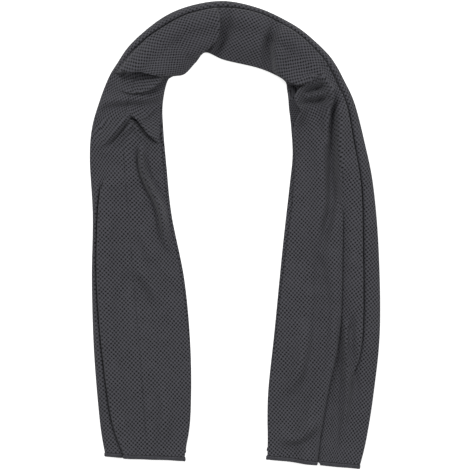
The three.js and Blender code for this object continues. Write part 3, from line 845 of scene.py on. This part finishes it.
# The net of slanting cords with a hole in each gap
def make_net_group():
    group = bpy.data.node_groups.new("knitted_net", "ShaderNodeTree")
    for name, kind in (("Place", "NodeSocketVector"), ("Across", "NodeSocketFloat"),
                       ("Along", "NodeSocketFloat"), ("Hole", "NodeSocketFloat")):
        group.interface.new_socket(name, in_out="INPUT", socket_type=kind)
    for name in ("Hole", "Cord", "Height"):
        group.interface.new_socket(name, in_out="OUTPUT", socket_type="NodeSocketFloat")
    given = group.nodes.new("NodeGroupInput")
    result = group.nodes.new("NodeGroupOutput")
    wander = add_node(group, "ShaderNodeTexNoise", Vector=given.outputs["Place"], Scale=0.16, Detail=2.0)
    shifted = vector_maths(group, "SUBTRACT", wander.outputs["Color"], (0.5, 0.5, 0.5))
    spread = vector_maths(group, "MULTIPLY", shifted, (WANDER, WANDER, 0))
    moved = vector_maths(group, "ADD", given.outputs["Place"], spread)
    parts = add_node(group, "ShaderNodeSeparateXYZ", moved)
    across = maths(group, "DIVIDE", parts.outputs[0], given.outputs["Across"])
    along = maths(group, "DIVIDE", parts.outputs[1], given.outputs["Along"])
    rising = cosine_turns(group, maths(group, "ADD", across, along))
    falling = cosine_turns(group, maths(group, "SUBTRACT", across, along))
    level = maths(group, "MULTIPLY", maths(group, "ADD", rising, falling), 0.5)
    over_edge = maths(group, "SUBTRACT", level, maths(group, "SUBTRACT", 1.0, given.outputs["Hole"]))
    hole = ranged(group, over_edge, -HOLE_SOFTNESS, HOLE_SOFTNESS, 0.0, 1.0)
    loops = maths(group, "MULTIPLY", sine_of(group, parts.outputs[0], LOOP_WIDTH),
                  sine_of(group, parts.outputs[1], LOOP_LENGTH))
    loops = maths(group, "MULTIPLY", loops, LOOP_RELIEF)
    round_cord = ranged(group, level, CORD_FULL, CORD_GONE, 1.0, 0.0)
    flat = maths(group, "MULTIPLY", maths(group, "SUBTRACT", 1.0, hole), FLAT_RELIEF)
    height = maths(group, "ADD", flat, maths(group, "MULTIPLY", round_cord, CORD_RELIEF))
    height = maths(group, "ADD", height, loops)
    group.links.new(hole, result.inputs["Hole"])
    group.links.new(round_cord, result.inputs["Cord"])
    group.links.new(height, result.inputs["Height"])
    return group


# A new material, its node tree and shader, and the place in the knit in millimetres
def knit_material(name):
    material = bpy.data.materials.new(name)
    material.use_nodes = True
    tree = material.node_tree
    knit_map = tree.nodes.new("ShaderNodeUVMap")
    knit_map.uv_map = "knit"
    in_mm = vector_maths(tree, "MULTIPLY", knit_map.outputs[0], (1 / MM, 1 / MM, 1 / MM))
    return material, tree, tree.nodes["Principled BSDF"], in_mm


mesh_knit, tree, shader, in_mm = knit_material("charcoal_mesh_knit")
net = tree.nodes.new("ShaderNodeGroup")
net.node_tree = make_net_group()
tree.links.new(in_mm, net.inputs["Place"])
net.inputs["Across"].default_value = HOLES_ACROSS
net.inputs["Along"].default_value = HOLES_ALONG
net.inputs["Hole"].default_value = HOLE_OPEN
patches = add_node(tree, "ShaderNodeTexNoise", Vector=in_mm, Scale=0.03, Detail=4.0)
yarn_tone = ranged(tree, patches.outputs["Fac"], 0.3, 0.7, 0.0, 1.0)
yarn = mixed(tree, yarn_tone, YARN_DARK, YARN_LIGHT)
crossed = mixed(tree, net.outputs["Cord"], yarn, CORD_COLOUR)
# Random patches where the holes' painted shade is fainter
hole_shade_noise = add_node(tree, "ShaderNodeTexNoise", Vector=in_mm, Scale=0.09, Detail=2.0)
hole_shade_share = ranged(tree, hole_shade_noise.outputs["Fac"], 0.35, 0.6, FAINTEST_HOLE_SHADE, 1.0)
hole_shade = maths(tree, "MULTIPLY", net.outputs["Hole"], hole_shade_share)
tree.links.new(mixed(tree, hole_shade, crossed, HOLE_SHADE), shader.inputs["Base Color"])
roughness = ranged(tree, net.outputs["Hole"], 0, 1, 0.82, 0.95, "LINEAR")
tree.links.new(roughness, shader.inputs["Roughness"])
bump = add_node(tree, "ShaderNodeBump", Height=net.outputs["Height"], Strength=0.6, Distance=0.0004)
tree.links.new(bump.outputs[0], shader.inputs["Normal"])
shader.inputs["Specular IOR Level"].default_value = 0.25
shader.inputs["Sheen Weight"].default_value = 0.12
shader.inputs["Sheen Roughness"].default_value = 0.5
cloth.data.materials.append(mesh_knit)

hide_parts("towel_cloth")
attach(cloth, "root")

# The hem across each end
# The cut edge of the knit, rolled over and sewn down, so it looks like a plain tube that follows the
# folds. It is the same yarn, knitted close, with painted shade along the line where it meets the cloth
# and a row of stitches beside the roll.

# The tube has a rounded oblong profile. It reaches past both edges of the cloth by END_REACHES, and
# END_SIZES are the sizes of its first loops, from each tip inward.
HEM_SIDES = 16
HEM_GIRTH = math.pi * (HEM_DEPTH + HEM_THICKNESS) / 2
DEPTH_POWER = 0.75
THICKNESS_POWER = 0.85
END_REACHES = (0.9, 0.6)
END_SIZES = (0.5, 0.85, 1.12, 1.06)
HEM_SMOOTH_ANGLE = math.radians(60)

# The knit's loops, the stitches and the painted shade along the seam, in millimetres. DASH_FADE is
# where a stitch ends, as a share of its pitch from its middle, and STITCH_FADE where it ends beside
# its line.
HEM_LOOP_WIDTH = 0.7
HEM_LOOP_LENGTH = 0.6
STITCH_PITCH = 2.8
STITCH_PLACE = 2.0
STITCH_RELIEF = 1.5
DASH_FADE = (0.32, 0.42)
STITCH_FADE = (0.2, 0.38)
SEAM_SHADE_OUTER = 1.9
SEAM_SHADE_INNER = 1.4
HEM_DARK = (0.042, 0.0416, 0.048, 1)
HEM_LIGHT = (0.058, 0.0575, 0.067, 1)
LOOP_SHADE = (0.02, 0.02, 0.023, 1)
SEAM_SHADE = (0.006, 0.006, 0.007, 1)
STITCH_COLOUR = (0.07, 0.0693, 0.08, 1)


def grid_normals(rows):
    normal = np.cross(np.gradient(rows, axis=0), np.gradient(rows, axis=1))
    return normal / np.linalg.norm(normal, axis=-1, keepdims=True)


def rounded(value, power):
    return math.copysign(abs(value)**power, value)


def hem_mesh(name, at_left):
    end = 0 if at_left else -1
    normal = np.pad(grid_normals(centre)[end], ((len(END_REACHES), len(END_REACHES)), (0, 0)), "edge")
    way = np.append(inland(at_left), 0)
    line = centre[end]
    first, last = (point / np.linalg.norm(point) for point in (line[0] - line[1], line[-1] - line[-2]))
    line = np.vstack([*(line[0] + reach * first for reach in END_REACHES), line,
                      *(line[-1] + reach * last for reach in reversed(END_REACHES))])
    plain = [1] * (len(line) - 2 * len(END_SIZES))
    size = np.array([*END_SIZES, *plain, *reversed(END_SIZES)])[:, None]
    run = np.concatenate([[0], np.cumsum(np.linalg.norm(np.diff(line, axis=0), axis=1))])
    middle = HEM_GRIP - HEM_DEPTH / 2
    loops = []
    for side in range(HEM_SIDES):
        angle = 2 * math.pi * side / HEM_SIDES
        reach = HEM_DEPTH / 2 * rounded(math.cos(angle), DEPTH_POWER)
        lift = HEM_THICKNESS / 2 * rounded(math.sin(angle), THICKNESS_POWER)
        loops.append(line + way * (middle + reach * size) + normal * lift * np.minimum(size, 1))
    mesh = bpy.data.meshes.new(name)
    build = bmesh.new()
    knit_map = build.loops.layers.uv.new("knit")
    vertices = [[build.verts.new(Vector(point) * MM) for point in loop] for loop in loops]
    for side in range(HEM_SIDES):
        for i in range(len(line) - 1):
            corners = [(side, i), (side, i + 1), (side + 1, i + 1), (side + 1, i)]
            face = build.faces.new([vertices[s % HEM_SIDES][k] for s, k in corners])
            for loop, (s, k) in zip(face.loops, corners):
                loop[knit_map].uv = (run[k] * MM, s * HEM_GIRTH / HEM_SIDES * MM)
    for i in (0, len(line) - 1):
        build.faces.new([vertices[side][i] for side in range(HEM_SIDES)])
    bmesh.ops.recalc_face_normals(build, faces=build.faces)
    build.to_mesh(mesh)
    build.free()
    return mesh


hem_knit, tree, shader, in_mm = knit_material("charcoal_hem_knit")
parts = add_node(tree, "ShaderNodeSeparateXYZ", in_mm)
run_mm, girth_mm = parts.outputs[0], parts.outputs[1]
loops = maths(tree, "MULTIPLY", sine_of(tree, run_mm, HEM_LOOP_WIDTH),
              sine_of(tree, girth_mm, HEM_LOOP_LENGTH))
patches = add_node(tree, "ShaderNodeTexNoise", Vector=in_mm, Scale=0.25, Detail=3.0)
yarn = mixed(tree, ranged(tree, patches.outputs["Fac"], 0.3, 0.7, 0.0, 1.0), HEM_DARK, HEM_LIGHT)
colour = mixed(tree, ranged(tree, loops, -1, 1, 0.0, 0.35), yarn, LOOP_SHADE)
turns = maths(tree, "FRACT", maths(tree, "DIVIDE", run_mm, STITCH_PITCH))
dash = maths(tree, "ABSOLUTE", maths(tree, "SUBTRACT", turns, 0.5))
beside = maths(tree, "ABSOLUTE", maths(tree, "SUBTRACT", girth_mm, STITCH_PLACE))
stitch = maths(tree, "MULTIPLY", ranged(tree, dash, *DASH_FADE, 1.0, 0.0),
               ranged(tree, beside, *STITCH_FADE, 1.0, 0.0))
# The side of the tube where it meets the cloth is painted dark, as painted shade in the crease
from_far_side = maths(tree, "ABSOLUTE", maths(tree, "SUBTRACT", girth_mm, HEM_GIRTH / 2))
seam = ranged(tree, from_far_side, HEM_GIRTH / 2 - SEAM_SHADE_OUTER, HEM_GIRTH / 2 - SEAM_SHADE_INNER, 0.0, 1.0)
colour = mixed(tree, seam, colour, SEAM_SHADE)
colour = mixed(tree, stitch, colour, STITCH_COLOUR)
tree.links.new(colour, shader.inputs["Base Color"])
relief = maths(tree, "ADD", loops, maths(tree, "MULTIPLY", stitch, STITCH_RELIEF))
bump = add_node(tree, "ShaderNodeBump", Height=relief, Strength=0.4, Distance=0.0002)
tree.links.new(bump.outputs[0], shader.inputs["Normal"])
shader.inputs["Roughness"].default_value = 0.88
shader.inputs["Specular IOR Level"].default_value = 0.25
shader.inputs["Sheen Weight"].default_value = 0.1

for name, node, at_left in (("hem_left", "end_hem_left", True), ("hem_right", "end_hem_right", False)):
    hem = bpy.data.objects.new(name, hem_mesh(name, at_left))
    bpy.context.scene.collection.objects.link(hem)
    hem.data.materials.append(hem_knit)
    select_only(hem)
    bpy.ops.object.shade_smooth_by_angle(angle=HEM_SMOOTH_ANGLE)
    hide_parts(node)
    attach(hem, "root")
